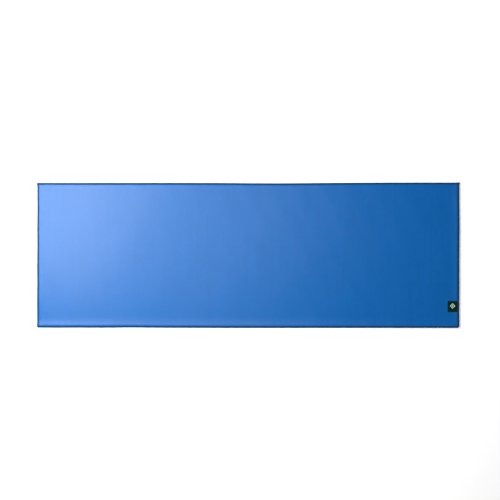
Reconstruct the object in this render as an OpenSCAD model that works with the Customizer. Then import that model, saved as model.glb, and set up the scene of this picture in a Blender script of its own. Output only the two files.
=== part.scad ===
// Flat exercise mat with overlocked edges.
// A textured fabric face is bonded to a cushion foam, a laid scrim and a rubber grip base, and
// the four raw edges are wrapped with three-thread overlock stitching.
// The origin is on the floor under the middle of the mat: X runs along the length, Y across the
// width and Z up. The label is at the right end of the front edge.

/* [Mat] */
// Overall length along X, over the edge stitching
mat_length = 1780; // [1500:10:2000]
// Overall width along Y, over the edge stitching
mat_width = 610; // [500:5:800]
// Radius of the front left corner
front_left_radius = 5; // [2:0.5:12]
// Radius of the front right corner
front_right_radius = 9; // [2:0.5:12]

/* [Layers] */
// Thickness of the rubber grip base
base_thickness = 1.6; // [1.2:0.1:3]
// Thickness of the cushion foam
foam_thickness = 2.5; // [1.5:0.1:8]
// Thickness of the face fabric
fabric_thickness = 0.6; // [0.5:0.1:1]

/* [Scrim] */
// Distance from one scrim yarn to the next
yarn_pitch = 10; // [8:1:20]
// Width of one flattened yarn
yarn_width = 1.2; // [0.8:0.1:2]
// Thickness of one flattened yarn
yarn_thickness = 0.15; // [0.1:0.05:0.3]

/* [Edge stitching] */
// How far the stitching reaches in over the faces
band_width = 7.5; // [4:0.5:10]
// Thickness of the threads lying on the top and bottom faces
face_cover = 0.4; // [0.25:0.05:0.4]
// Thickness of the threads lying over the raw edge
edge_cover = 0.5; // [0.3:0.1:1]
// Width of the needle thread's line at the inner side of the band
needle_line = 0.8; // [0.5:0.1:1.5]
// How far the threads underneath stay above the floor
floor_clearance = 0.05; // [0.05:0.05:0.15]

/* [Thread tails] */
// Length of the gathered chain at each back corner
tail_length = 10; // [6:1:20]
// Radius of the gathered chain
tail_radius = 1.2; // [0.8:0.1:1.5]
// How far the chain stands out from the end of the mat
tail_stand_out = 2; // [1.7:0.1:2.5]

/* [Label] */
// Length of the label along X, up to the edge stitching
label_length = 41; // [30:1:60]
// Width of the label along Y
label_width = 46; // [30:1:60]
// Thickness of the label with its ends turned under
label_thickness = 0.4; // [0.3:0.05:0.6]
// Distance from the mat's front edge to the label
label_front_gap = 66.5; // [15:0.5:100]
// Distance from the label's edge to its stitches
label_stitch_inset = 2; // [1.5:0.5:4]
// Width of a line of label stitches
label_stitch_width = 0.5; // [0.3:0.1:0.8]
// Thickness of a line of label stitches
label_stitch_height = 0.15; // [0.1:0.05:0.2]

/* [Hidden] */

$fn = 64;
weft_low = base_thickness;
warp_low = weft_low + yarn_thickness;
foam_low = warp_low + yarn_thickness;
fabric_low = foam_low + foam_thickness;
mat_top = fabric_low + fabric_thickness;
edge_middle = mat_top / 2;
needle_inset = band_width - needle_line;
smallest_radius = 0.3;
yarn_edge_margin = 12;
end_x = mat_length / 2;
back_y = mat_width / 2;
label_left_x = end_x - band_width - label_length;
label_front_y = -back_y + label_front_gap;
over = 1;

face_blue = [0.10, 0.40, 0.80];
edge_blue = [0.05, 0.22, 0.55];
foam_blue = [0.35, 0.58, 0.88];
rubber_blue = [0.12, 0.25, 0.45];
scrim_white = [0.86, 0.87, 0.84];
label_green = [0.05, 0.12, 0.07];
label_stitch_green = [0.08, 0.20, 0.10];

// How many parallel yarns fit across a width, clear of the rounded corners
function yarn_count(width) = floor((width - 2 * yarn_edge_margin) / yarn_pitch) + 1;

// Centre of one yarn, with all of them spread evenly about the middle
function yarn_place(index, count) = (index - (count - 1) / 2) * yarn_pitch;

// The mat's plan outline, drawn in by an inset from the overall size
module plan(inset) {
    left_radius = max(front_left_radius - inset, smallest_radius);
    right_radius = max(front_right_radius - inset, smallest_radius);
    half_length = end_x - inset;
    half_width = back_y - inset;
    union() {
        polygon([
            [-half_length, half_width],
            [-half_length, -half_width + left_radius],
            [-half_length + left_radius, -half_width],
            [half_length - right_radius, -half_width],
            [half_length, -half_width + right_radius],
            [half_length, half_width]
        ]);
        translate([-half_length + left_radius, -half_width + left_radius])
            circle(r = left_radius);
        translate([half_length - right_radius, -half_width + right_radius])
            circle(r = right_radius);
    }
}

// A flat layer with the plan outline, between two heights
module layer(inset, low, high) {
    translate([0, 0, low])
        linear_extrude(high - low)
            plan(inset);
}

// The strip along the back edge that the back run of stitching covers
module back_strip() {
    translate([-end_x - over, back_y - band_width])
        square([mat_length + 2 * over, band_width + over]);
}

// A ring between two insets along the left, front and right edges
module wrap_ring(outer_inset, inner_inset, low, high) {
    translate([0, 0, low])
        linear_extrude(high - low)
            difference() {
                plan(outer_inset);
                plan(inner_inset);
                back_strip();
            }
}

// A ring between two insets along the back edge, closed round the two back corners
module back_ring(outer_inset, inner_inset, low, high) {
    translate([0, 0, low])
        linear_extrude(high - low)
            intersection() {
                difference() {
                    plan(outer_inset);
                    plan(inner_inset);
                }
                back_strip();
            }
}

// Straight lines of stitches along the label's left, front and back sides
module label_stitches(low) {
    left_x = label_left_x + label_stitch_inset;
    front_y = label_front_y + label_stitch_inset;
    line_length = label_length - label_stitch_inset;
    line_span = label_width - 2 * label_stitch_inset;
    translate([left_x, front_y, low])
        cube([label_stitch_width, line_span, label_stitch_height]);
    translate([left_x, front_y, low])
        cube([line_length, label_stitch_width, label_stitch_height]);
    translate([left_x, front_y + line_span - label_stitch_width, low])
        cube([line_length, label_stitch_width, label_stitch_height]);
}

// Rubber sheet that lies on the floor, stepped up under the edge stitching
module grip_base() {
    color(rubber_blue)
        union() {
            layer(band_width, 0, face_cover);
            layer(edge_cover, face_cover, base_thickness);
        }
}

// Flat yarns running across the mat
module scrim_weft() {
    count = yarn_count(mat_length);
    color(scrim_white)
        for (index = [0 : count - 1])
            translate([
                yarn_place(index, count) - yarn_width / 2,
                -back_y + edge_cover,
                weft_low
            ])
                cube([yarn_width, mat_width - 2 * edge_cover, yarn_thickness]);
}

// Flat yarns running along the mat, laid over the crosswise ones
module scrim_warp() {
    count = yarn_count(mat_width);
    color(scrim_white)
        for (index = [0 : count - 1])
            translate([
                -end_x + edge_cover,
                yarn_place(index, count) - yarn_width / 2,
                warp_low
            ])
                cube([mat_length - 2 * edge_cover, yarn_width, yarn_thickness]);
}

// Soft foam between the scrim and the face fabric
module cushion_foam() {
    color(foam_blue)
        layer(edge_cover, foam_low, fabric_low);
}

// Fabric face, stepped down under the edge stitching and grooved for the bobbin thread
module face_fabric() {
    color(face_blue)
        difference() {
            union() {
                layer(edge_cover, fabric_low, mat_top - face_cover);
                layer(band_width, mat_top - face_cover, mat_top);
            }
            label_stitches(fabric_low);
        }
}

// Needle thread of the run round the left, front and right edges, above and below the layers
module wrap_run_needle_thread() {
    color(edge_blue)
        union() {
            wrap_ring(needle_inset, band_width, mat_top - face_cover, mat_top);
            wrap_ring(needle_inset, band_width, floor_clearance, face_cover);
        }
}

// Upper looper thread of that run, over the top face and the upper half of the raw edge
module wrap_run_upper_looper() {
    color(edge_blue)
        union() {
            wrap_ring(0, needle_inset, mat_top - face_cover, mat_top);
            wrap_ring(0, edge_cover, edge_middle, mat_top - face_cover);
        }
}

// Lower looper thread of that run, under the mat and over the lower half of the raw edge
module wrap_run_lower_looper() {
    color(edge_blue)
        union() {
            wrap_ring(0, needle_inset, floor_clearance, face_cover);
            wrap_ring(0, edge_cover, face_cover, edge_middle);
        }
}

// Needle thread of the run along the back edge
module back_run_needle_thread() {
    color(edge_blue)
        union() {
            back_ring(needle_inset, band_width, mat_top - face_cover, mat_top);
            back_ring(needle_inset, band_width, floor_clearance, face_cover);
        }
}

// Upper looper thread of the back run, which closes over both back corners
module back_run_upper_looper() {
    color(edge_blue)
        union() {
            back_ring(0, needle_inset, mat_top - face_cover, mat_top);
            back_ring(0, edge_cover, edge_middle, mat_top - face_cover);
        }
}

// Lower looper thread of the back run
module back_run_lower_looper() {
    color(edge_blue)
        union() {
            back_ring(0, needle_inset, floor_clearance, face_cover);
            back_ring(0, edge_cover, face_cover, edge_middle);
        }
}

// One gathered thread chain lying against the right end at the back corner
module tail() {
    difference() {
        translate([end_x + tail_stand_out - tail_radius, back_y - tail_length, edge_middle])
            rotate([-90, 0, 0])
                cylinder(r = tail_radius, h = tail_length);
        translate([end_x - 2 * tail_radius, back_y - tail_length - over, 0])
            cube([2 * tail_radius, tail_length + 2 * over, mat_top]);
    }
}

// The gathered thread chains where the two runs cross at the back corners
module thread_tails() {
    color(edge_blue) {
        tail();
        mirror([1, 0, 0])
            tail();
    }
}

// Folded woven label, lying on the face with its right end at the edge stitching
module woven_label() {
    color(label_green)
        translate([label_left_x, label_front_y, mat_top])
            cube([label_length, label_width, label_thickness]);
}

// Needle thread of the label's lockstitch, on top of the label
module label_needle_thread() {
    color(label_stitch_green)
        union() label_stitches(mat_top + label_thickness);
}

// Bobbin thread of the label's lockstitch, let into the underside of the face fabric
module label_bobbin_thread() {
    color(label_stitch_green)
        union() label_stitches(fabric_low);
}

grip_base();
scrim_weft();
scrim_warp();
cushion_foam();
face_fabric();
wrap_run_needle_thread();
wrap_run_upper_looper();
wrap_run_lower_looper();
back_run_needle_thread();
back_run_upper_looper();
back_run_lower_looper();
thread_tails();
woven_label();
label_needle_thread();
label_bobbin_thread();
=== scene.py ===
"""The looks of the flat exercise mat with overlocked edges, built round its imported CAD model."""

import math

import bpy
import numpy as np
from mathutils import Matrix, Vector


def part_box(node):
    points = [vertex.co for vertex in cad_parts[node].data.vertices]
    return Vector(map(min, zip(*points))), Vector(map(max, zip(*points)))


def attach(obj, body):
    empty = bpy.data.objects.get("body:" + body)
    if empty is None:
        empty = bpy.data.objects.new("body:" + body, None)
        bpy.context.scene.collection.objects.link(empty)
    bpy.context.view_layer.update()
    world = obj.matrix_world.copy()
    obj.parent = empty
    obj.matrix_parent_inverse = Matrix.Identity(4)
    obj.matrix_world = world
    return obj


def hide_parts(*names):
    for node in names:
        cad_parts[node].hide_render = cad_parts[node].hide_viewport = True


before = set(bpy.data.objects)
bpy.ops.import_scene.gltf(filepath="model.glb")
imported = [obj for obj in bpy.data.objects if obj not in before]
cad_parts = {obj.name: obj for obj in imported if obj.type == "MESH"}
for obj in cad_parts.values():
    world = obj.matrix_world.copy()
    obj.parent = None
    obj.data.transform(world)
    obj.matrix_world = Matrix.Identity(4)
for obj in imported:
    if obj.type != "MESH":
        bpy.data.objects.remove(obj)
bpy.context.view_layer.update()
MM = 0.001
scene = bpy.context.scene
random = np.random.default_rng(7)

# ---- sizes given by the CAD model

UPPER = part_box("wrap_run_upper_looper")
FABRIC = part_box("face_fabric")
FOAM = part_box("cushion_foam")
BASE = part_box("grip_base")
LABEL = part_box("woven_label")
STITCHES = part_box("label_needle_thread")
HALF_X = UPPER[1].x
HALF_Y = -UPPER[0].y
TOP = FABRIC[1].z
MIDDLE = TOP / 2
NEEDLE_LINE = 0.8 * MM
NEEDLE_INSET = HALF_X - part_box("wrap_run_needle_thread")[1].x + NEEDLE_LINE / 2
FABRIC_THICKNESS = FABRIC[1].z - FABRIC[0].z

# ---- the outline

FRONT_LEFT_RADIUS = 5 * MM
FRONT_RIGHT_RADIUS = 9 * MM
BACK_RADIUS = 2 * MM
RADII = (FRONT_LEFT_RADIUS, FRONT_RIGHT_RADIUS, BACK_RADIUS, BACK_RADIUS)
# The spacing of the outline's points, how often their number can be halved, and how many a corner and
# the short and long sides have
SEGMENT = 1.5 * MM
HALVINGS = 3
ARC = 2**HALVINGS
SHORT = ARC * round(2 * HALF_Y / (ARC * SEGMENT))
LONG = ARC * round(2 * HALF_X / (ARC * SEGMENT))
# The outline runs down the left side, along the front, up the right side and back along the back.
SIDES = (SHORT, LONG, SHORT, LONG)
SIDE_NORMALS = ((-1, 0), (0, -1), (1, 0), (0, 1))
CORNERS = ((-1, -1), (1, -1), (1, 1), (-1, 1))


def outline(inset, level=0, least_radius=2 * MM):
    """Points of the outline drawn in by inset, and their outward directions.

    Each level halves their number.
    """
    radii = [max(r - inset, least_radius) for r in RADII]
    half = np.array((HALF_X - inset, HALF_Y - inset))
    centres = [np.array(c) * (half - r) for c, r in zip(CORNERS, radii, strict=True)]
    points, outward = [], []
    for side, normal in enumerate(np.array(SIDE_NORMALS, float)):
        start = centres[side - 1] + radii[side - 1] * normal
        end = centres[side] + radii[side] * normal
        count, arc_count = SIDES[side] >> level, ARC >> level
        share = np.arange(count)[:, None] / count
        points.append(start + (end - start) * share)
        outward.append(np.tile(normal, (count, 1)))
        angle = math.atan2(normal[1], normal[0]) + np.arange(arc_count) * math.pi / 2 / arc_count
        way = np.stack([np.cos(angle), np.sin(angle)], axis=1)
        points.append(centres[side] + radii[side] * way)
        outward.append(way)
    return np.concatenate(points), np.concatenate(outward)


class Rail:
    """A stretch of the outline that a run of stitches follows, going straight on past its ends."""

    def __init__(self, first, last, run_on):
        points, outward = outline(0)
        picked = np.arange(first, last + 1) % len(points)
        points, self.outward = points[picked], outward[picked]
        points[0] += (points[0] - points[1]) / SEGMENT * run_on
        points[-1] += (points[-1] - points[-2]) / SEGMENT * run_on
        self.points = points
        self.count = last - first

    def at(self, place, inset):
        """(x, y) and the outward direction at a place, counted in outline points, drawn in by inset."""
        spots = np.arange(self.count + 1)
        pick = [np.interp(place, spots, column) for column in (*self.points.T, *self.outward.T)]
        outward = np.stack(pick[2:], axis=-1)
        return np.stack(pick[:2], axis=-1) - outward * np.asarray(inset)[..., None], outward


# ---- the unevenness of a sewn mat


def hump(t, centre, reach):
    """A smooth rise to 1 at centre, which dies away over reach."""
    return np.exp(-(((t - centre) / reach) ** 2))


# The simulated sheet: how far in its border reaches, the share by which the sewing has drawn it out,
# how it starts, its grid, its steps, and the height that its waves are scaled to
WAVE_REACH = 80 * MM
DRAWN_OUT = 0.004
LYING_START = 10 * MM
START_WAVE = 0.1 * MM
START_WAVE_LENGTHS = (0.11, 0.14, 0.18, 0.23)
LYING_COLUMNS = 90
LYING_ROWS = 31
LYING_STEPS = 30
MOST_RISE = 0.7 * MM
FLOOR_ROUNDING = 0.2 * MOST_RISE


def border_distance(x, y):
    """How far inside the mat's edge a place is."""
    return np.minimum(HALF_X - np.abs(x), HALF_Y - np.abs(y))


def placed(name, data):
    """A new object of this data, in the scene."""
    made = bpy.data.objects.new(name, data)
    scene.collection.objects.link(made)
    return made


def grid_quads(number):
    """The quads between the numbered points of a grid."""
    corners = number[:-1, :-1], number[:-1, 1:], number[1:, 1:], number[1:, :-1]
    return np.stack(corners, axis=-1).reshape(-1, 4)


def flat_sheet(x, y, height):
    """A grid of quads at these heights, as a new object."""
    points = np.stack([x, y, height], axis=-1).reshape(-1, 3)
    data = bpy.data.meshes.new("sheet")
    data.from_pydata(points.tolist(), [], grid_quads(np.arange(x.size).reshape(x.shape)).tolist())
    return placed("sheet", data)


def weighted(sheet, name, weights):
    """Gives the sheet's points these weights in a new group, and returns the group's name."""
    group = sheet.vertex_groups.new(name=name)
    for index, weight in enumerate(weights.ravel().tolist()):
        group.add([index], weight, "REPLACE")
    return name


def smoothed(heights):
    """Heights evened out between neighbours, as the foam under the sheet does."""
    for _ in range(2):
        padded = np.pad(heights, 1, mode="edge")
        heights = (padded[:-2] + 2 * padded[1:-1] + padded[2:])[:, 1:-1] / 4
        padded = np.pad(heights, 1, mode="edge")
        heights = (padded[:, :-2] + 2 * padded[:, 1:-1] + padded[:, 2:])[1:-1] / 4
    return heights


def slight_waves(x, y):
    """A few smooth waves of chance directions, for the simulation to start from."""
    chance = np.random.default_rng(11)
    total = np.zeros(x.shape)
    for length in START_WAVE_LENGTHS:
        turn, phase = chance.uniform(0, 2 * math.pi, 2)
        total += np.sin(2 * math.pi / length * (x * math.cos(turn) + y * math.sin(turn)) + phase)
    return START_WAVE * total


def lying_heights():
    """The grid's columns and rows, and how high each of its places lies, by a cloth simulation.

    The sewing has drawn the border out a little longer than the sheet inside it, so the border lies in
    low waves round a middle that is held flat. They are scaled to MOST_RISE, and the floor takes away the
    part of each wave below it.
    """
    x, y = np.meshgrid(
        np.linspace(-HALF_X, HALF_X, LYING_COLUMNS), np.linspace(-HALF_Y, HALF_Y, LYING_ROWS)
    )
    start = LYING_START + slight_waves(x, y)
    distance = border_distance(x, y)
    held = np.clip((distance - WAVE_REACH) / WAVE_REACH, 0, 1)
    sheet = flat_sheet(x, y, np.where(held >= 1, LYING_START, start))
    cloth = sheet.modifiers.new("cloth", "CLOTH")
    settings = cloth.settings
    settings.quality = 6
    settings.mass = 0.02
    settings.tension_stiffness = 30
    settings.compression_stiffness = 30
    settings.bending_stiffness = 10
    settings.vertex_group_mass = weighted(sheet, "held", np.where(held >= 1, 1.0, 0.0))
    settings.vertex_group_shrink = weighted(sheet, "own_length", np.clip(distance / WAVE_REACH, 0, 1))
    settings.shrink_min = -DRAWN_OUT
    settings.shrink_max = 0
    settings.effector_weights.gravity = 0
    cloth.collision_settings.use_collision = False
    for step in range(1, LYING_STEPS + 1):
        scene.frame_set(step)
    lying = sheet.evaluated_get(bpy.context.evaluated_depsgraph_get()).data
    height = np.array([point.co.z for point in lying.vertices]).reshape(x.shape)
    bpy.data.objects.remove(sheet)
    scene.frame_set(1)
    wave_height = height - LYING_START
    wave_height *= MOST_RISE / np.abs(wave_height).max()
    above_floor = (wave_height + np.hypot(wave_height, FLOOR_ROUNDING)) / 2
    return x[0], y[:, 0], smoothed(np.maximum(above_floor - FLOOR_ROUNDING / 2, 0))


LYING = lying_heights()


def spline_weights(place, knots):
    """The four knots round each place and their shares in a smooth cubic spline."""
    spot = np.clip((place - knots[0]) / (knots[1] - knots[0]), 0, len(knots) - 1.001)
    base = np.floor(spot).astype(int)
    t = spot - base
    shares = ((1 - t) ** 3, 3 * t**3 - 6 * t**2 + 4, -3 * t**3 + 3 * t**2 + 3 * t + 1, t**3)
    return [(np.clip(base + step - 1, 0, len(knots) - 1), share / 6) for step, share in enumerate(shares)]


def lying(x, y):
    """The simulated height of the sheet at each place."""
    columns, rows, heights = LYING
    across, along = spline_weights(x, columns), spline_weights(y, rows)
    return sum(share * other * heights[row, column] for column, share in across for row, other in along)


# How high the border curls off the floor at each edge, and how far in from the edge it lifts.
CURL_RIGHT = (2.2 * MM, 40 * MM)
CURL_FRONT = (2.6 * MM, 45 * MM)
CURL_LEFT = (0.3 * MM, 40 * MM)
CURL_BACK = (0.3 * MM, 40 * MM)
# The smooth bows of each edge, as their height and then their centre and reach along it, in metres.
BACK_BOWS = ((-2.1 * MM, 0.13, 0.24), (0.4 * MM, 0.66, 0.2))
FRONT_BOWS = ((1.0 * MM, -0.49, 0.08), (-0.7 * MM, 0.0, 0.25))
RIGHT_BOWS = ((1.0 * MM, 0.12, 0.06),)
# How far the front and back edges stand proud, and how far the left end is skewed and wavy.
PROUD = 0.9 * MM
LEFT_SKEW = 0.6 * MM
LEFT_WAVE = 0.2 * MM
LEFT_WAVE_TURNS = 41
# Ripples of the top: their height in millimetres and their radians a metre along X and Y.
CROSSED_RIPPLE = (0.15, 23, 17)
CROSSED_RIPPLE_START = 1.3
SLANTED_RIPPLES = ((0.12, 9.1, 14.7), (0.10, 57, 31))
MOST_RIPPLE_SHARE = 1.1
# Powers by which the bows of the long edges and of the ends die away inside the mat.
EDGE_FADE = 2
END_FADE = 6


def curl(points):
    """How far the mat's border stands off the floor, most at its front and right edges."""
    x, y = points[..., 0], points[..., 1]
    sides = (
        (HALF_X - x, CURL_RIGHT),
        (HALF_Y + y, CURL_FRONT),
        (HALF_X + x, CURL_LEFT),
        (HALF_Y - y, CURL_BACK),
    )
    rise = 0.0
    for distance, (height, reach) in sides:
        rise = np.maximum(rise, height * np.clip(1 - distance / reach, 0, 1) ** 2)
    return rise


def bowed(start, t, bows):
    """How far an edge stands out at places t along it, by smooth bows from a start."""
    for height, centre, reach in bows:
        start = start + height * hump(t, centre, reach)
    return start


def rippled(x, y):
    """Low ripples in the top."""
    height, turns_x, turns_y = CROSSED_RIPPLE
    total = height * np.sin(turns_x * x + CROSSED_RIPPLE_START) * np.cos(turns_y * y)
    for height, turns_x, turns_y in SLANTED_RIPPLES:
        total = total + height * np.sin(turns_x * x + turns_y * y)
    return total * MM


def uneven(points):
    """Points moved by the few millimetres by which a cut and sewn mat is out of true and off the floor."""
    x, y, z = points[..., 0], points[..., 1], points[..., 2]
    near_back = np.clip(y / HALF_Y, 0, 1) ** EDGE_FADE
    near_front = np.clip(-y / HALF_Y, 0, 1) ** EDGE_FADE
    near_right = np.clip(x / HALF_X, 0, 1) ** END_FADE
    near_left = np.clip(-x / HALF_X, 0, 1) ** END_FADE
    back = bowed(PROUD, x, BACK_BOWS)
    front = bowed(-PROUD, x, FRONT_BOWS)
    right = bowed(0.0, y, RIGHT_BOWS)
    left = LEFT_SKEW * y / HALF_Y + LEFT_WAVE * np.sin(LEFT_WAVE_TURNS * y)
    ripple = rippled(x, y) * np.clip(z / TOP, 0, MOST_RIPPLE_SHARE)
    moved = points.copy()
    moved[..., 0] += near_right * right + near_left * left
    moved[..., 1] += near_back * back + near_front * front
    moved[..., 2] += ripple + curl(points) + lying(x, y)
    return moved


# ---- mesh making


def mesh_object(name, points, faces, material):
    """A smooth-shaded object of points, moved by the mat's unevenness, and faces."""
    data = bpy.data.meshes.new(name)
    data.from_pydata(uneven(points).tolist(), [], faces)
    data.update()
    data.shade_smooth()
    data.materials.append(material)
    return placed(name, data)


# The corner radius of a closing grid and of the rings outside it, and how far apart the rings are
CORNER_CUT = 9 * MM
RING_RADIUS = 4 * MM
RING_STEP = 6 * MM


class Shell:
    """Points and faces of a flat closed mesh, made ring by ring from its edge inwards."""

    def __init__(self):
        self.points, self.faces, self.count = [], [], 0

    def add(self, xy, height):
        """Adds points at a height, or at heights that a function gives, and returns their numbers."""
        z = height(xy) if callable(height) else np.full(len(xy), float(height))
        self.points.append(np.column_stack([xy, z]))
        self.count += len(xy)
        return np.arange(self.count - len(xy), self.count)

    def ring(self, inset, height, level=0, least_radius=2 * MM):
        """Adds the outline's points, drawn in by inset."""
        return self.add(outline(inset, level, least_radius)[0], height)

    def face(self, columns, up):
        """Adds faces whose corners are the columns, turned over where they look down."""
        corners = np.stack([np.ravel(c) for c in columns], axis=1)
        self.faces += (corners if up else corners[:, ::-1]).tolist()

    def strip(self, outer, inner, up):
        """Quads between two rings with as many points."""
        self.face((outer, np.roll(outer, -1), np.roll(inner, -1), inner), up)

    def halve(self, outer, inner, up):
        """Triangles between a ring and one with half as many points."""
        first, middle, last = outer[0::2], outer[1::2], np.roll(outer[0::2], -1)
        after = np.roll(inner, -1)
        self.face((first, middle, inner), up)
        self.face((middle, after, inner), up)
        self.face((middle, last, after), up)

    def fill(self, ring, level, inset, height, up):
        """A grid inside a ring that has CORNER_CUT as the radius of its corners."""
        cut = ARC >> level
        x = np.linspace(-1, 1, (LONG >> level) + 1) * (HALF_X - inset - CORNER_CUT)
        y = np.linspace(-1, 1, (SHORT >> level) + 1) * (HALF_Y - inset - CORNER_CUT)
        grid_x, grid_y = np.meshgrid(x, y)
        grid = self.add(np.column_stack([grid_x.ravel(), grid_y.ravel()]), height)
        grid = grid.reshape(grid_x.shape)
        self.face(grid_quads(grid).T, up)
        start = 0
        for side, edge in enumerate((grid[::-1, 0], grid[0], grid[:, -1], grid[-1, ::-1])):
            end = start + (SIDES[side] >> level)
            outer = ring[np.arange(start, end + 1) % len(ring)]
            self.face((outer[:-1], outer[1:], edge[1:], edge[:-1]), up)
            bend = ring[np.arange(end, end + cut + 1) % len(ring)]
            self.face((bend[:-1], bend[1:], np.full(cut, edge[-1])), up)
            start = end + cut


def cap(shell, outer, rows, levels, up, fill=None):
    """Closes one side of a shell with rows of (inset, height), coarser rings inside them, and a grid.

    The rings and the grid lie at the last row's height, unless fill gives the grid another one.
    """
    for inset, z in rows:
        inner = shell.ring(inset, z)
        shell.strip(outer, inner, up)
        outer = inner
    inset, flat = rows[-1]
    for level in range(1, levels + 1):
        inset += RING_STEP
        radius = CORNER_CUT if level == levels else RING_RADIUS
        inner = shell.ring(inset, flat, level, radius)
        shell.halve(outer, inner, up)
        outer = inner
    shell.fill(outer, levels, inset, fill or flat, up)


UPWARDS = np.array((0.0, 0.0, 1.0))
TUBE_SIDES = 6


def unit(ways):
    """Directions scaled to a length of 1."""
    return ways / np.linalg.norm(ways, axis=-1, keepdims=True)


def sideways(paths, facing):
    """The two directions square to paths at each point, the first of them square to facing too."""
    along = unit(np.gradient(paths, axis=-2))
    across = unit(np.cross(along, facing))
    return across, np.cross(across, along)


def tubes(paths, facing, width, thickness):
    """Points and faces of closed flattened tubes along paths, with their flat sides towards facing."""
    across, lift = sideways(paths, facing)
    count, steps = paths.shape[:2]
    angle = (np.arange(TUBE_SIDES) + 0.5) * 2 * math.pi / TUBE_SIDES
    wide = np.broadcast_to(width, (count, steps))[..., None, None] / 2
    high = np.broadcast_to(thickness, (count, steps))[..., None, None] / 2
    points = (
        paths[:, :, None]
        + across[:, :, None] * wide * np.cos(angle)[:, None]
        + lift[:, :, None] * high * np.sin(angle)[:, None]
    )
    number = np.arange(count * steps * TUBE_SIDES).reshape(count, steps, TUBE_SIDES)
    a, b = number[:, :-1], number[:, 1:]
    quads = np.stack([a, np.roll(a, -1, 2), np.roll(b, -1, 2), b], axis=-1)
    faces = quads.reshape(-1, 4)[:, ::-1].tolist()
    faces += number[:, 0].tolist() + number[:, -1, ::-1].tolist()
    return points.reshape(-1, 3), faces


# ---- material making


def new_material(name, base, roughness, specular=0.5, sheen=0.0):
    """A Principled material, its node tree and its shader."""
    material = bpy.data.materials.new(name)
    material.use_nodes = True
    shader = next(n for n in material.node_tree.nodes if n.type == "BSDF_PRINCIPLED")
    shader.inputs["Base Color"].default_value = (*base, 1)
    shader.inputs["Roughness"].default_value = roughness
    shader.inputs["Specular IOR Level"].default_value = specular
    shader.inputs["Sheen Weight"].default_value = sheen
    shader.inputs["Sheen Roughness"].default_value = 0.5
    return material, material.node_tree, shader


def node(tree, kind, sockets, **settings):
    """Makes a node with these settings and its sockets linked or set, and returns its first output."""
    made = tree.nodes.new(kind)
    for key, value in settings.items():
        setattr(made, key, value)
    for key, value in sockets.items():
        if isinstance(value, bpy.types.NodeSocket):
            tree.links.new(value, made.inputs[key])
        else:
            made.inputs[key].default_value = value
    return made.outputs[0]


def maths(tree, operation, first, second=0.0, third=0.0):
    """The result of a maths node."""
    return node(tree, "ShaderNodeMath", {0: first, 1: second, 2: third}, operation=operation)


def object_place(tree):
    """The place on the object, in metres."""
    return tree.nodes.new("ShaderNodeTexCoord").outputs["Object"]


def grain(tree, place, scale, detail=2.0):
    """Noise from 0 to 1, with about scale lumps to the metre."""
    return node(tree, "ShaderNodeTexNoise", {"Vector": place, "Scale": scale, "Detail": detail})


def node_split(tree, place):
    """The x, y and z of a place."""
    split = tree.nodes.new("ShaderNodeSeparateXYZ")
    tree.links.new(place, split.inputs[0])
    return tuple(split.outputs)


def wave(tree, along, pitch):
    """A sine from -1 to 1 along a coordinate in metres."""
    return maths(tree, "SINE", maths(tree, "MULTIPLY", along, 2 * math.pi / pitch))


def between(tree, value, low, high):
    """value, from 0 to 1, spread from low to high."""
    return node(tree, "ShaderNodeMapRange", {0: value, 3: low, 4: high})


def blend_colours(tree, share, first, second):
    """A colour from first to second, by a share from 0 to 1."""
    mixed = tree.nodes.new("ShaderNodeMix")
    mixed.data_type = "RGBA"
    for key, value in ((0, share), (6, first), (7, second)):
        if isinstance(value, bpy.types.NodeSocket):
            tree.links.new(value, mixed.inputs[key])
        else:
            mixed.inputs[key].default_value = value if key == 0 else (*value, 1)
    return mixed.outputs[2]


def bump(tree, shader, height, distance):
    """Lets a height, in shares of a distance in metres, shape the shader's light."""
    made = node(tree, "ShaderNodeBump", {"Height": height, "Distance": distance, "Strength": 1.0})
    tree.links.new(made, shader.inputs["Normal"])


def textured(tree, shader, noise, colours, roughness):
    """Spreads the shader's colour and roughness, each from its first value to its second, by a noise."""
    tree.links.new(blend_colours(tree, noise, *colours), shader.inputs["Base Color"])
    tree.links.new(between(tree, noise, *roughness), shader.inputs["Roughness"])


# ---- materials

# Linear colours
FACE_BLUE = (0.00065, 0.1016, 0.356)
FACE_DEEP = (0.00035, 0.0589, 0.206)
THREAD_BLUE = (0.0004, 0.036, 0.128)
# The thread's painted shade, for the hollows between its fibres
THREAD_HOLLOW_SHADE = (0.0002, 0.024, 0.086)
FOAM_BLUE = (0.06, 0.20, 0.50)
FOAM_PALE = (0.09, 0.26, 0.58)
RUBBER_BLUE = (0.010, 0.035, 0.105)
RUBBER_PALE = (0.016, 0.048, 0.130)
YARN_WHITE = (0.72, 0.72, 0.68)
YARN_GREY = (0.55, 0.56, 0.53)
LABEL_GREEN = (0.0004, 0.0175, 0.0070)
LABEL_PALE = (0.52, 0.82, 0.56)
LABEL_THREAD_GREEN = (0.006, 0.040, 0.018)
LABEL_THREAD_DEEP = (0.002, 0.018, 0.008)
# Noises, in lumps to the metre
FACE_WIDE = 9
FACE_STREAKS = 100
FACE_HEATHER = 75
FACE_FIBRES = 900
THREAD_FIBRES = 2600
FOAM_CELLS = 1800
RUBBER_DUST = 14
RUBBER_PORES = 1200
YARN_FILAMENTS = 1500
LABEL_FUZZ = 3000
LABEL_THREAD_TWIST = 4000
# How much the streaks are drawn out along Y, and the shares of wide patches, streaks, heather, fibres
# and knit in the face's colour; the knit's share is painted shade, darker in the knit's valleys
STREAK_SQUEEZE = (1.0, 0.04, 1.0)
FACE_SHARES = (0.15, 0.35, 0.35, 0.15, 0.12)
# The face's ribs, which wander by a few millimetres, its knit, and their shares in its height
RIB_PITCH = 4 * MM
RIB_WANDER = 4 * MM
RIB_SHARE = 0.3
KNIT_PITCH = 1.2 * MM
KNIT_SHARE = 0.12
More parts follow.
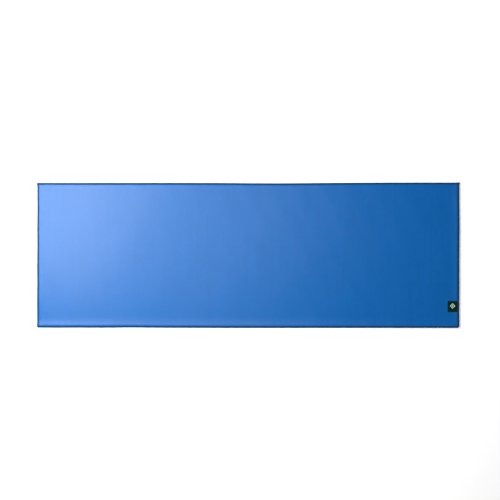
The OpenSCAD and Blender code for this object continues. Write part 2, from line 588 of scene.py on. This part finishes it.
# The label's weave, the shares of its two colours in their shades, its motif's three half diagonals,
# and how far back from its centre the motif is
WEAVE_PITCH = 0.9 * MM
WEAVE_SHARE = 0.5
PALE_SHADE = 0.7
GREEN_SHADE = 0.6
MOTIF_REACHES = (11 * MM, 8.0 * MM, 3.5 * MM)
MOTIF_BACK = 2 * MM


def face_material():
    """Blue microfibre: a fine knitted face with painted shade in its valleys, faint cross ribs, soft
    streaks and heather, and a fibre grain.
    """
    material, tree, shader = new_material("face_microfibre", FACE_BLUE, 0.27, specular=0.17)
    place = object_place(tree)
    wide = grain(tree, place, FACE_WIDE)
    heather = grain(tree, place, FACE_HEATHER)
    fibres = grain(tree, place, FACE_FIBRES, 3)
    stretched = node(tree, "ShaderNodeMapping", {"Vector": place, "Scale": STREAK_SQUEEZE})
    streaks = grain(tree, stretched, FACE_STREAKS)
    x, y, _ = node_split(tree, place)
    # The knit darkens the colour in its valleys as painted shade, and also shapes the height.
    knit_and_valley_shade = maths(tree, "MULTIPLY", wave(tree, x, KNIT_PITCH), wave(tree, y, KNIT_PITCH))
    share = 0.0
    for layer, weight in zip((wide, streaks, heather, fibres, knit_and_valley_shade), FACE_SHARES, strict=True):
        share = maths(tree, "MULTIPLY_ADD", layer, weight, share)
    tree.links.new(blend_colours(tree, share, FACE_DEEP, FACE_BLUE), shader.inputs["Base Color"])
    tree.links.new(between(tree, fibres, 0.24, 0.30), shader.inputs["Roughness"])
    rib = wave(tree, maths(tree, "MULTIPLY_ADD", wide, RIB_WANDER, x), RIB_PITCH)
    height = maths(tree, "MULTIPLY_ADD", knit_and_valley_shade, KNIT_SHARE, fibres)
    height = maths(tree, "MULTIPLY_ADD", rib, RIB_SHARE, height)
    bump(tree, shader, height, 0.06 * MM)
    return material


def thread_material():
    """Fluffy overlock thread: fine fibres, with painted shade darkening their hollows."""
    material, tree, shader = new_material("edge_thread", THREAD_BLUE, 0.75, specular=0.12)
    fibre = grain(tree, object_place(tree), THREAD_FIBRES, 4)
    # The fibres' low places take the darker colour: painted shade in their hollows.
    textured(tree, shader, fibre, (THREAD_HOLLOW_SHADE, THREAD_BLUE), (0.6, 0.8))
    bump(tree, shader, fibre, 0.15 * MM)
    return material


def foam_material():
    """Closed-cell foam with small cells in its cut edge."""
    material, tree, shader = new_material("cushion_foam", FOAM_BLUE, 0.85)
    cells = node(tree, "ShaderNodeTexVoronoi", {"Vector": object_place(tree), "Scale": FOAM_CELLS})
    textured(tree, shader, cells, (FOAM_BLUE, FOAM_PALE), (0.8, 0.95))
    bump(tree, shader, cells, 0.1 * MM)
    return material


def rubber_material():
    """Matt rubber with a fine moulded grain and dusty lighter patches."""
    material, tree, shader = new_material("grip_rubber", RUBBER_BLUE, 0.75)
    place = object_place(tree)
    textured(tree, shader, grain(tree, place, RUBBER_DUST, 4), (RUBBER_BLUE, RUBBER_PALE), (0.65, 0.85))
    bump(tree, shader, grain(tree, place, RUBBER_PORES), 0.08 * MM)
    return material


def yarn_material():
    """Flat undyed yarn, streaked by its filaments."""
    material, tree, shader = new_material("scrim_yarn", YARN_WHITE, 0.6, sheen=0.1)
    streak = grain(tree, object_place(tree), YARN_FILAMENTS, 3)
    textured(tree, shader, streak, (YARN_GREY, YARN_WHITE), (0.5, 0.7))
    bump(tree, shader, streak, 0.05 * MM)
    return material


def label_material(centre):
    """Dense weave, near-black green, with a pale lozenge in a lozenge frame woven in."""
    material, tree, shader = new_material("label_weave", LABEL_GREEN, 0.6, specular=0.05)
    place = object_place(tree)
    x, y, _ = node_split(tree, place)
    aside = [
        maths(tree, "ABSOLUTE", maths(tree, "SUBTRACT", along, middle))
        for along, middle in zip((x, y), centre, strict=True)
    ]
    spread = maths(tree, "ADD", *aside)
    whole, hole, heart = [maths(tree, "LESS_THAN", spread, reach) for reach in MOTIF_REACHES]
    motif = maths(tree, "ADD", maths(tree, "SUBTRACT", whole, hole), heart)
    weave = maths(tree, "MULTIPLY", wave(tree, x, WEAVE_PITCH), wave(tree, y, WEAVE_PITCH))
    fuzz = grain(tree, place, LABEL_FUZZ)
    pale = blend_colours(tree, fuzz, tuple(PALE_SHADE * c for c in LABEL_PALE), LABEL_PALE)
    dark = blend_colours(tree, fuzz, tuple(GREEN_SHADE * c for c in LABEL_GREEN), LABEL_GREEN)
    tree.links.new(blend_colours(tree, motif, dark, pale), shader.inputs["Base Color"])
    tree.links.new(between(tree, fuzz, 0.5, 0.7), shader.inputs["Roughness"])
    height = maths(tree, "ADD", maths(tree, "MULTIPLY", weave, WEAVE_SHARE), motif)
    bump(tree, shader, height, 0.08 * MM)
    return material


def label_thread_material():
    """Dark green sewing thread, mottled by its twist."""
    material, tree, shader = new_material("label_thread", LABEL_THREAD_GREEN, 0.6, specular=0.2)
    twist = grain(tree, object_place(tree), LABEL_THREAD_TWIST)
    textured(tree, shader, twist, (LABEL_THREAD_DEEP, LABEL_THREAD_GREEN), (0.45, 0.65))
    bump(tree, shader, twist, 0.05 * MM)
    return material


# ---- the layers

# The face's section, as (distance from the mat's edge, height, dip at a needle hole) in millimetres:
# squeezed under the threads, then a soft shoulder up to the flat face.
FACE_ROWS = (
    (0.9, 3.30, 0.00),
    (1.6, 4.00, 0.00),
    (2.8, 4.30, 0.00),
    (5.2, 4.38, 0.02),
    (7.1, 4.34, 0.16),
    (8.0, 4.52, 0.10),
    (9.4, 4.78, 0.04),
    (11.4, 4.96, 0.01),
    (14.0, 5.05, 0.00),
    (18.0, 5.06, 0.00),
)
FACE_INSETS, FACE_HEIGHTS, _ = np.array(FACE_ROWS).T * MM
PUCKER_SWELL = 0.3
# Where the raw edges of the foam and rubber stand, and the gap that is left between two layers
LAYER_INSET = 0.8 * MM
LAYER_GAP = 0.02 * MM


def face_height(inset):
    """The face's height at a distance from the mat's edge."""
    return np.interp(inset, FACE_INSETS, FACE_HEIGHTS)


def puckered(height, dip):
    """A height that dips at each needle hole and swells between two holes."""
    return lambda xy: height + dip * np.where(np.arange(len(xy)) % 2 == 0, -1.0, PUCKER_SWELL)


def face_piece():
    """The fabric face, drawn down at each needle hole."""
    shell = Shell()
    rows = [(i * MM, puckered(z * MM, dip * MM)) for i, z, dip in FACE_ROWS[:-1]]
    rows.append((FACE_INSETS[-1], FACE_HEIGHTS[-1]))
    outer = shell.ring(*rows[0])
    cap(shell, outer, rows[1:], HALVINGS, True)
    piece = mesh_object("face_fabric_skin", np.concatenate(shell.points), shell.faces, face_material())
    thick = piece.modifiers.new("thickness", "SOLIDIFY")
    thick.thickness = FABRIC_THICKNESS
    thick.offset = -1
    return piece


# The foam's underside, as (distance from the mat's edge, height above its lowest level) in millimetres
FOAM_UNDER_ROWS = ((1.4, 0.15), (4.0, 0.0), (18.0, 0.0))


def foam_piece():
    """The foam, which fills the space under the face down to the scrim, its raw edge rounded."""
    shell = Shell()
    nose = shell.ring(LAYER_INSET, MIDDLE)
    gap = FABRIC_THICKNESS + LAYER_GAP
    top_rows = [(i * MM, z * MM - gap) for i, z, _ in FACE_ROWS[1:]]
    bottom_rows = [(i * MM, FOAM[0].z + z * MM) for i, z in FOAM_UNDER_ROWS]
    cap(shell, nose, top_rows, HALVINGS, True)
    cap(shell, nose, bottom_rows, HALVINGS, False)
    return mesh_object("cushion_foam_pad", np.concatenate(shell.points), shell.faces, foam_material())


GRIP_DEPTH = 0.35 * MM
GRIP_LEVEL = 2
# How far the rubber's edge is squeezed down, and, in millimetres, its top's distances from the mat's edge
# and the underside's section, as (distance from the mat's edge, height)
BASE_SQUEEZE = 0.3 * MM
BASE_TOP_INSETS = (1.6, 6.0, 18.0)
BASE_ROWS = ((1.0, 0.85), (2.4, 0.55), (6.0, 0.52), (7.8, 0.40), (9.4, 0.04), (12.0, 0.0))


def grip(xy):
    """A waffle of shallow pyramids, low and high by turns on the grid that fills the underside."""
    step_x = (xy[:, 0].max() - xy[:, 0].min()) / (LONG >> GRIP_LEVEL)
    step_y = (xy[:, 1].max() - xy[:, 1].min()) / (SHORT >> GRIP_LEVEL)
    column = np.rint((xy[:, 0] - xy[:, 0].min()) / step_x)
    row = np.rint((xy[:, 1] - xy[:, 1].min()) / step_y)
    return GRIP_DEPTH * ((column + row) % 2)


def base_piece():
    """The rubber base, squeezed at its edge and with the grip pattern underneath."""
    shell = Shell()
    high = BASE[1].z
    nose = shell.ring(LAYER_INSET, high - BASE_SQUEEZE)
    top_rows = [(i * MM, high) for i in BASE_TOP_INSETS]
    cap(shell, nose, top_rows, HALVINGS, True)
    cap(shell, nose, [(i * MM, z * MM) for i, z in BASE_ROWS], GRIP_LEVEL, False, grip)
    return mesh_object("grip_base_sheet", np.concatenate(shell.points), shell.faces, rubber_material())


YARN_WIDTH = 1.2 * MM
YARN_PITCH = 10 * MM
YARN_GAP = 1.0 * MM
YARN_STEPS = 48
# How far a yarn wanders to each side, and the wave's turn from one step and one yarn to the next
YARN_WANDER = 0.25 * MM
WANDER_ALONG = 0.9
WANDER_ACROSS = 2.1


def scrim_piece(name, node_name, axis, material):
    """The yarns of one direction, as flattened tubes where the CAD model's yarns are."""
    low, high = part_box(node_name)
    across = 1 - axis
    count = round((high[across] - low[across] - YARN_WIDTH) / YARN_PITCH) + 1
    paths = np.zeros((count, YARN_STEPS, 3))
    paths[:, :, axis] = np.linspace(low[axis] + YARN_GAP, high[axis] - YARN_GAP, YARN_STEPS)
    first, last = low[across] + YARN_WIDTH / 2, high[across] - YARN_WIDTH / 2
    paths[:, :, across] = np.linspace(first, last, count)[:, None]
    turn = WANDER_ALONG * np.arange(YARN_STEPS) + WANDER_ACROSS * np.arange(count)[:, None]
    paths[:, :, across] += YARN_WANDER * np.sin(turn)
    paths[:, :, 2] = (low.z + high.z) / 2
    points, faces = tubes(paths, UPWARDS, YARN_WIDTH, high.z - low.z)
    return mesh_object(name, points, faces, material)


# ---- the overlock stitching

THREAD_WIDTH = 1.6 * MM
THREAD_THICKNESS = 0.5 * MM
NEEDLE_WIDTH = 0.75 * MM
NEEDLE_THICKNESS = 0.5 * MM
# The run round the left, front and right edges, and the run along the back edge
WRAP = Rail(0, 2 * SHORT + LONG + 2 * ARC, BACK_RADIUS)
BACK = Rail(WRAP.count + ARC, WRAP.count + ARC + LONG, BACK_RADIUS)
# The looper threads' section: how far in from the raw edge they start, over what depth they round it,
# and how far above or below the mat's middle they and the needle thread lie on its faces.
NOSE_INSET = 0.42 * MM
NOSE_DEPTH = 2.9 * MM
LOOPER_RISE = 4.72 * MM - MIDDLE
NEEDLE_RISE = 4.62 * MM - MIDDLE
UNDER_SINK = 0.1 * MM
FLOOR_GAP = 0.03 * MM
# A looper thread goes to and fro between the raw edge, where its reach is 0, and the needle line,
# where it is 1. Its legs are half a stitch apart, and it passes a little beyond the raw edge's middle.
POINTS_PER_STITCH = 2
NEEDLE_TURN_PLACE = 0.5
EDGE_TURN_PLACE = 1.0
HALF_TURN = 0.25
BEND_REACH = 0.5
LOOP_SLANT = 0.35
LOOP_PAST_EDGE = 0.13
LOOP_PAST_NEEDLE = 0.35 * MM
LOOP_SINK = 0.10 * MM
TURN_REACH = 0.10
TURN_WIDTH = 0.62
# Where the looper threads hold each other, the upper one stands out and the lower one is drawn in by a
# share of that, which dies away towards HOLD_REACH.
HOLD_DEPTH = 0.22 * MM
HOLD_UNDER = -0.3
HOLD_REACH = 0.1
HOLD_FADE = 0.15
# Chance in each stitch: along the run as a share of a stitch, and in its length and height
LOOSE_ALONG = 0.04
LOOSE_LENGTH = 0.12 * MM
LOOSE_RISE = 0.04 * MM
LOOSE_NEEDLE = 0.05 * MM
# The ends of the back run lie over the wrap run: how far that goes on, how far it fades, and how far
# the back run's threads are lifted and pushed out there
CROSSING_REACH = 9 * MM
CROSSING_FADE = 3 * MM
CROSSING_LOOPER_LIFT = 0.45 * MM
CROSSING_NEEDLE_LIFT = 0.4 * MM
CROSSING_OUT = 0.35 * MM
# Places and heights along one stitch of the needle thread on top, and the share of them underneath
NEEDLE_PLACES = np.array([0.03, 0.16, 0.38, 0.62, 0.84, 0.97])
NEEDLE_ARCH = np.array([-0.35, 0.18, 0.30, 0.30, 0.18, -0.35]) * MM
NEEDLE_ARCH_UNDER = 0.4
# How far the label lifts the stitching over its end, over what length that fades beside it, and the
# reach at which a looper thread is lifted in full
LABEL_LIFT = 0.35 * MM
LABEL_LIFT_FADE = 1.5 * MM
LABEL_LIFT_REACH = 0.6
NEEDLE_TURN = np.radians((5, 45, 90, 135, 175))
EDGE_TURN = np.radians((20, 90, 160))
LEG_REACHES = np.array((0.16, 0.32, 0.50, 0.80))


def loop_shape():
    """One stitch of a looper thread: places along it, reaches, and shares of the thread's full width."""
    needle_turn = NEEDLE_TURN_PLACE - HALF_TURN * np.cos(NEEDLE_TURN)
    needle_reach = 1 - TURN_REACH * (1 - np.sin(NEEDLE_TURN))
    edge_turn = EDGE_TURN_PLACE - HALF_TURN * np.cos(EDGE_TURN)
    edge_reach = TURN_REACH * (1 - np.sin(EDGE_TURN)) - LOOP_PAST_EDGE
    out_leg = np.full(len(LEG_REACHES), EDGE_TURN_PLACE - HALF_TURN)
    back_leg = np.full(len(LEG_REACHES), EDGE_TURN_PLACE + HALF_TURN)
    along = np.concatenate([needle_turn, out_leg, edge_turn, back_leg])
    reach = np.concatenate([needle_reach, LEG_REACHES[::-1], edge_reach, LEG_REACHES])
    width = np.where(reach > LEG_REACHES[-1], TURN_WIDTH, 1.0)
    return along, reach, width


def smooth(t):
    """0 below 0, 1 above 1, and a soft step between."""
    t = np.clip(t, 0, 1)
    return t * t * (3 - 2 * t)


def over_label(xy):
    """1 where the edge stitching passes over the label's end, else 0."""
    middle, reach = (LABEL[0].y + LABEL[1].y) / 2, (LABEL[1].y - LABEL[0].y) / 2
    inside = reach + LABEL_LIFT_FADE - np.abs(xy[..., 1] - middle)
    return smooth(inside / LABEL_LIFT_FADE) * (xy[..., 0] > 0)


def near_end(along, stitches):
    """1 near the ends of a run, at places counted in stitches, else 0."""
    distance = np.minimum(along, stitches - along) * POINTS_PER_STITCH * SEGMENT
    return smooth((CROSSING_REACH - distance) / CROSSING_FADE)


def looper_path(rail, upper, crossing):
    """The path of one looper thread along a rail, and the way its flat side faces."""
    stitches = rail.count // POINTS_PER_STITCH
    number = np.arange(stitches)[:, None]
    jitter = random.uniform(-1, 1, (3, stitches, 1))
    shape, reach, width = loop_shape()
    reach = np.broadcast_to(reach, (stitches, len(reach)))
    shift = 0.0 if upper else 0.5
    along = number + shift + shape + LOOP_SLANT * (reach - BEND_REACH)
    along = along + LOOSE_ALONG * jitter[0] * reach
    bend = np.minimum(reach / BEND_REACH * math.pi / 2, math.pi / 2)
    past_bend = np.clip((reach - BEND_REACH) / (1 - BEND_REACH), 0, 1)
    needle_end = NEEDLE_INSET + LOOP_PAST_NEEDLE + LOOSE_LENGTH * jitter[1]
    inset = NOSE_INSET + NOSE_DEPTH * (1 - np.cos(bend))
    inset = inset + past_bend * (needle_end - NOSE_INSET - NOSE_DEPTH)
    holding = smooth((HOLD_REACH - reach) / HOLD_FADE)
    inset = inset - holding * HOLD_DEPTH * (1 if upper else HOLD_UNDER)
    rise = LOOPER_RISE * np.sin(bend) - LOOP_SINK * past_bend + LOOSE_RISE * jitter[2] * reach
    place, outward = rail.at(along * POINTS_PER_STITCH, inset)
    if upper:
        rise = rise + over_label(place) * LABEL_LIFT * smooth(reach / LABEL_LIFT_REACH)
    if crossing:
        over = near_end(along, stitches)
        if upper:
            rise = rise + over * CROSSING_LOOPER_LIFT * smooth(reach / BEND_REACH)
        place = place + outward * (over * CROSSING_OUT * (1 - past_bend))[..., None]
    sign = 1 if upper else -1
    height = MIDDLE + sign * rise
    height = np.maximum(height, THREAD_THICKNESS / 2 + FLOOR_GAP)
    path = np.concatenate([place, height[..., None]], axis=-1)
    tilt = np.where(past_bend > 0, 0, np.cos(bend))
    facing = np.concatenate([outward * tilt[..., None], sign * np.sin(bend)[..., None]], axis=-1)
    width = THREAD_WIDTH * np.tile(width, stitches)
    return path.reshape(1, -1, 3), facing.reshape(1, -1, 3), width


def looper_piece(name, rail, upper, crossing, material):
    """One looper thread of a run."""
    path, facing, width = looper_path(rail, upper, crossing)
    points, faces = tubes(path, facing, width, THREAD_THICKNESS)
    return mesh_object(name, points, faces, material)


def needle_path(rail, upper, crossing):
    """The needle thread's line of short stitches on one side of the mat."""
    stitches = rail.count // POINTS_PER_STITCH
    along = np.arange(stitches)[:, None] + NEEDLE_PLACES
    inset = np.full(along.shape, NEEDLE_INSET) + LOOSE_NEEDLE * random.uniform(-1, 1, (stitches, 1))
    place, _ = rail.at(along * POINTS_PER_STITCH, inset)
    if upper:
        rise = np.zeros(along.shape) + NEEDLE_RISE + NEEDLE_ARCH + over_label(place) * LABEL_LIFT
        if crossing:
            rise = rise + near_end(along, stitches) * CROSSING_NEEDLE_LIFT
        height = MIDDLE + rise
    else:
        rise = np.zeros(along.shape) + NEEDLE_RISE + NEEDLE_ARCH_UNDER * NEEDLE_ARCH
        height = MIDDLE - rise - UNDER_SINK
    height = np.maximum(height, NEEDLE_THICKNESS / 2 + FLOOR_GAP)
    return np.concatenate([place, height[..., None]], axis=-1).reshape(1, -1, 3)


def needle_piece(name, rail, crossing, material):
    """A run's needle thread, as one line of stitches above the mat and one below."""
    points, faces, count = [], [], 0
    for upper in (True, False):
        path = needle_path(rail, upper, crossing)
        some_points, some_faces = tubes(path, UPWARDS, NEEDLE_WIDTH, NEEDLE_THICKNESS)
        faces += [[corner + count for corner in face] for face in some_faces]
        points.append(some_points)
        count += len(some_points)
    return mesh_object(name, np.concatenate(points), faces, material)


# ---- thread tails

STRANDS = 3
STRAND_WIDTH = 0.95 * MM
STRAND_TURNS = 2.2
# How far the strands stand off their middle line, in millimetres, and how much more at its end
STRAND_SPREAD = (0.5, 0.25)
# The share of a tail over which its strands spread and get thinner, and the share by which they do
TAIL_END = 0.25
TAIL_THINNING = 0.5
# The ways that the strands' turns start from and that their flat sides face
STRAND_START = (0.3, 0.5, 0.8)
STRAND_FACING = (0.1, 0.2, 1.0)
SPAN_STEPS = 8
FLATNESS = 0.8
# The middle lines of the two tails, as (inwards along X, inwards along Y, up) from the mat's corner, in
# millimetres: the left one stands out, the right one is tucked in.
LEFT_TAIL = (
    (3.0, 3.4, 4.9), (0.2, 3.0, 4.6), (-1.3, 3.6, 3.2),
    (-1.7, 5.6, 2.5), (-1.2, 8.2, 2.3), (-0.6, 10.4, 2.2),
)
RIGHT_TAIL = (
    (4.0, 1.6, 5.1), (1.5, -0.1, 4.5), (-0.3, 0.3, 3.2),
    (-0.9, 2.6, 2.5), (-0.6, 6.0, 2.3), (-0.3, 9.4, 2.2),
)


def curve_through(knots, steps):
    """A smooth line through knots, by Catmull-Rom spans."""
    knots = np.asarray(knots, float)
    padded = np.concatenate([[2 * knots[0] - knots[1]], knots, [2 * knots[-1] - knots[-2]]])
    line = []
    for index in range(len(knots) - 1):
        p0, p1, p2, p3 = padded[index : index + 4]
        t = np.linspace(0, 1, steps, endpoint=False)[:, None]
        square, cube = 2 * p0 - 5 * p1 + 4 * p2 - p3, 3 * p1 - p0 - 3 * p2 + p3
        line.append(0.5 * (2 * p1 + (p2 - p0) * t + square * t**2 + cube * t**3))
    return np.concatenate([*line, knots[-1:]])


def tail_strands(knots):
    """Three strands twisted round a line, which spread a little at its end."""
    middle = curve_through(knots, SPAN_STEPS)
    steps = len(middle)
    across, lift = sideways(middle, STRAND_START)
    least, more = STRAND_SPREAD
    near_tip = smooth((np.arange(steps) - (1 - TAIL_END) * steps) / (TAIL_END * steps))
    spread = (least + more * near_tip) * MM
    paths = []
    for strand in range(STRANDS):
        angle = 2 * math.pi * (strand / STRANDS + np.linspace(0, STRAND_TURNS, steps))
        turn = across * np.cos(angle)[:, None] + lift * np.sin(angle)[:, None]
        paths.append(middle + turn * spread[:, None])
    return np.array(paths)


def tails_piece(material):
    """The gathered chains of thread at the two back corners, each thinner at its end."""
    paths = []
    for sign, knots in ((-1, LEFT_TAIL), (1, RIGHT_TAIL)):
        line = [(sign * (HALF_X - i * MM), HALF_Y - j * MM, k * MM) for i, j, k in knots]
        paths += list(tail_strands(line))
    paths = np.array(paths)
    near_tip = smooth(np.linspace(1 - 1 / TAIL_END, 1, paths.shape[1]))
    width = STRAND_WIDTH * (1 - TAIL_THINNING * near_tip)
    points, faces = tubes(paths, STRAND_FACING, width, width * FLATNESS)
    return mesh_object("thread_tail_chains", points, faces, material)


# ---- the label

LABEL_CELL = 0.75 * MM
LABEL_THICKNESS = 0.35 * MM
LABEL_TUCK = 3.4 * MM
LABEL_EDGE_BULGE = 0.16 * MM
# How deep and wide the label is drawn in along a seam, how far it swells and how far from a seam it does
# so in full, and how high its folded end stands, how long it is and how softly it ends
SEAM_DEPTH, SEAM_REACH = 0.10 * MM, 0.7 * MM
SWELL, SWELL_REACH = 0.16 * MM, 9 * MM
FOLD_RISE, FOLD_LENGTH, FOLD_FADE = 0.12 * MM, 6 * MM, 2 * MM
# The lift of the needle thread's and the bobbin thread's lockstitches, their arch and width, and the pitch
NEEDLE_LIFT, NEEDLE_SEAM = 0.03 * MM, (0.12 * MM, 0.4 * MM)
BOBBIN_LIFT, BOBBIN_SEAM = 0.1 * MM, (0.03 * MM, 0.3 * MM)
LABEL_STITCH = 2.6 * MM
LABEL_STITCH_WIDTH = 0.5 * MM
STITCH_INSET = STITCHES[0].x - LABEL[0].x + LABEL_STITCH_WIDTH / 2
# Places along one lockstitch, and its heights there as shares of its arch
LOCKSTITCH_PLACES = np.array([0.0, 0.12, 0.3, 0.5, 0.7, 0.88, 1.0])
LOCKSTITCH_ARCH = np.array([-1.2, 0.2, 0.8, 1.0, 0.8, 0.2, -1.2])
# The gap before each lockstitch and the rest, which its thread spans, as shares of its pitch
STITCH_GAP = 0.07
STITCH_SPAN = 0.86


def seam_distance(x, y):
    """The distance to the label's nearest line of stitches, which run along three of its sides."""
    to_left = np.abs(x - (LABEL[0].x + STITCH_INSET))
    to_front = np.abs(y - (LABEL[0].y + STITCH_INSET))
    to_back = np.abs(y - (LABEL[1].y - STITCH_INSET))
    return np.minimum(to_left, np.minimum(to_front, to_back))


def label_rise(x, y):
    """How far the label's top stands above the face: full between its seams, drawn in along them."""
    seam = seam_distance(x, y)
    drawn = SEAM_DEPTH * np.exp(-((seam / SEAM_REACH) ** 2))
    full = SWELL * smooth(seam / SWELL_REACH)
    folded = FOLD_RISE * smooth((LABEL[0].x + FOLD_LENGTH - x) / FOLD_FADE)
    return LABEL_THICKNESS + full + folded - drawn


def rim_of(grid):
    """The outer places of a grid, once round it."""
    return np.concatenate([grid[0, :-1], grid[:-1, -1], grid[-1, :0:-1], grid[:0:-1, 0]])


def label_piece(material):
    """A closed thin sheet, its top and bottom joined by a rounded edge."""
    left, right = LABEL[0].x, HALF_X - LABEL_TUCK
    front, back = LABEL[0].y, LABEL[1].y
    columns, rows = round((right - left) / LABEL_CELL) + 1, round((back - front) / LABEL_CELL) + 1
    x, y = np.meshgrid(np.linspace(left, right, columns), np.linspace(front, back, rows))
    under = face_height(HALF_X - x)
    top = np.stack([x, y, under + label_rise(x, y)], axis=-1)
    bottom = np.stack([x, y, under + LAYER_GAP], axis=-1)
    centre = np.array([(left + right) / 2, (front + back) / 2, 0])
    middle = (rim_of(top) + rim_of(bottom)) / 2
    way = middle - centre
    way[:, 2] = 0
    middle += unit(way) * LABEL_EDGE_BULGE
    count = x.size
    number = np.arange(count).reshape(x.shape)
    rim_numbers = rim_of(number)
    middle_numbers = 2 * count + np.arange(len(middle))
    quads = grid_quads(number)
    faces = quads.tolist() + (quads[:, ::-1] + count).tolist()
    for upper, lower in ((rim_numbers, middle_numbers), (middle_numbers, rim_numbers + count)):
        side = np.stack([upper, lower, np.roll(lower, -1), np.roll(upper, -1)], axis=1)
        faces += side.tolist()
    points = np.concatenate([top.reshape(-1, 3), bottom.reshape(-1, 3), middle])
    return mesh_object("woven_corner_label", points, faces, material)


def seam_stitches(name, rise, arch, width, material):
    """Separate lockstitches along the label's left, front and back sides."""
    left, right = LABEL[0].x + STITCH_INSET, LABEL[1].x
    front, back = LABEL[0].y + STITCH_INSET, LABEL[1].y - STITCH_INSET
    corners = np.array([(right, front), (left, front), (left, back), (right, back)])
    paths = []
    for start, end in zip(corners[:-1], corners[1:], strict=True):
        count = round(np.linalg.norm(end - start) / LABEL_STITCH)
        for index in range(count):
            spot = (index + STITCH_GAP + STITCH_SPAN * LOCKSTITCH_PLACES) / count
            xy = start + (end - start) * spot[:, None]
            height = rise(xy[:, 0], xy[:, 1]) + arch * LOCKSTITCH_ARCH
            paths.append(np.column_stack([xy, height]))
    points, faces = tubes(np.array(paths), UPWARDS, width, width * FLATNESS)
    return mesh_object(name, points, faces, material)


def over_seam(x, y):
    """The height of the needle thread's stitches, on the label."""
    return face_height(HALF_X - x) + label_rise(x, y) + NEEDLE_LIFT


def under_seam(x, y):
    """The height of the bobbin thread's stitches, in the underside of the face fabric."""
    return np.full(np.shape(x), FABRIC[0].z + BOBBIN_LIFT)


# ---- putting the mat together


def add(piece, slot, *nodes):
    """A piece rides on the mat's one body and stands for these CAD nodes."""
    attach(piece, "root")
    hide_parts(*nodes)
    return piece


def build_mat():
    """Makes every piece."""
    face = add(face_piece(), "face_fabric", "face_fabric")
    foam = add(foam_piece(), "cushion_foam", "cushion_foam")
    add(base_piece(), "grip_rubber", "grip_base")
    yarn = yarn_material()
    add(scrim_piece("scrim_weft_yarns", "scrim_weft", 1, yarn), "scrim_yarn", "scrim_weft")
    add(scrim_piece("scrim_warp_yarns", "scrim_warp", 0, yarn), "scrim_yarn", "scrim_warp")
    thread = thread_material()
    for run, rail, crossing in (("wrap_run", WRAP, False), ("back_run", BACK, True)):
        for part, upper in (("upper_looper", True), ("lower_looper", False)):
            name = f"{run}_{part}"
            add(looper_piece(name + "_thread", rail, upper, crossing, thread), "edge_thread", name)
        name = f"{run}_needle_thread"
        add(needle_piece(name + "_line", rail, crossing, thread), "edge_thread", name)
    add(tails_piece(thread), "edge_thread", "thread_tails")
    centre = ((LABEL[0].x + LABEL[1].x) / 2, (LABEL[0].y + LABEL[1].y) / 2 + MOTIF_BACK)
    label = add(label_piece(label_material(centre)), "label_weave", "woven_label")
    cotton = label_thread_material()
    seam = seam_stitches("label_needle_stitches", over_seam, *NEEDLE_SEAM, cotton)
    add(seam, "label_thread", "label_needle_thread")
    seam = seam_stitches("label_bobbin_stitches", under_seam, *BOBBIN_SEAM, cotton)
    add(seam, "label_thread", "label_bobbin_thread")


# ---- floor, light and camera

FLOOR_REACH = 12
FLOOR_LEVEL = -0.1 * MM
FLOOR_WHITE = (0.88, 0.88, 0.88)
FLOOR_GLOW = 0.08
WORLD_STRENGTH = 0.22
# Each lamp's place, what it is aimed at, its two sides and its power in watts
LAMPS = {
    "key": ((-1.28, 0.36, 1.8), (-0.5, 0.1, 0), (1.15, 1.15), 66),
    "overhead": ((-0.62, 0.4, 4), (-0.3, 0, 0), (1.7, 1.7), 69),
    "low_left": ((-5, 1.5, 2.2), (0, 0, 0), (2, 2), 285),
}


def floor():
    """A plain white floor just under the mat."""
    data = bpy.data.meshes.new("floor")
    points = [(x * FLOOR_REACH, y * FLOOR_REACH, FLOOR_LEVEL) for x, y in CORNERS]
    data.from_pydata(points, [], [(0, 1, 2, 3)])
    material, _, shader = new_material("floor_white", FLOOR_WHITE, 1.0)
    shader.inputs["Emission Color"].default_value = (1, 1, 1, 1)
    shader.inputs["Emission Strength"].default_value = FLOOR_GLOW
    data.materials.append(material)
    placed("floor", data)


def aimed(back):
    """The turn of a lamp or camera whose back faces this way."""
    return Vector(back).to_track_quat("Z", "Y").to_euler()


def softbox(name, place, aim, size, power):
    """A rectangular lamp, turned towards what it is aimed at."""
    data = bpy.data.lights.new(name, "AREA")
    data.shape = "RECTANGLE"
    data.size, data.size_y = size
    data.energy = power
    lamp = placed(name, data)
    lamp.location = place
    lamp.rotation_euler = aimed(np.array(place, float) - np.array(aim, float))


def world_light(strength):
    """An even white light from all round."""
    world = bpy.data.worlds.new("studio")
    world.use_nodes = True
    back = next(n for n in world.node_tree.nodes if n.type == "BACKGROUND")
    back.inputs["Color"].default_value = (1, 1, 1, 1)
    back.inputs["Strength"].default_value = strength
    scene.world = world


# The camera's lens and sensor in millimetres, the width that it sees, how far it stands to the right of
# straight above, and the middle of its view
LENS = 85
SENSOR = 36
VIEW_WIDTH = 2.1075
CAMERA_LEAN = math.radians(0.6)
VIEW_CENTRE = (0.0098, 0.0220, TOP)


def camera():
    """A camera almost straight above the mat."""
    data = bpy.data.cameras.new("camera")
    data.lens, data.sensor_width = LENS, SENSOR
    data.clip_end = 50
    eye = placed("camera", data)
    distance = VIEW_WIDTH * LENS / SENSOR
    lean = (math.sin(CAMERA_LEAN), 0, math.cos(CAMERA_LEAN))
    eye.location = [c + distance * w for c, w in zip(VIEW_CENTRE, lean, strict=True)]
    eye.rotation_euler = (0, CAMERA_LEAN, 0)
    scene.camera = eye


build_mat()
floor()
for lamp_name, lamp_values in LAMPS.items():
    softbox(lamp_name, *lamp_values)
world_light(WORLD_STRENGTH)
camera()
scene.view_settings.view_transform = "Standard"
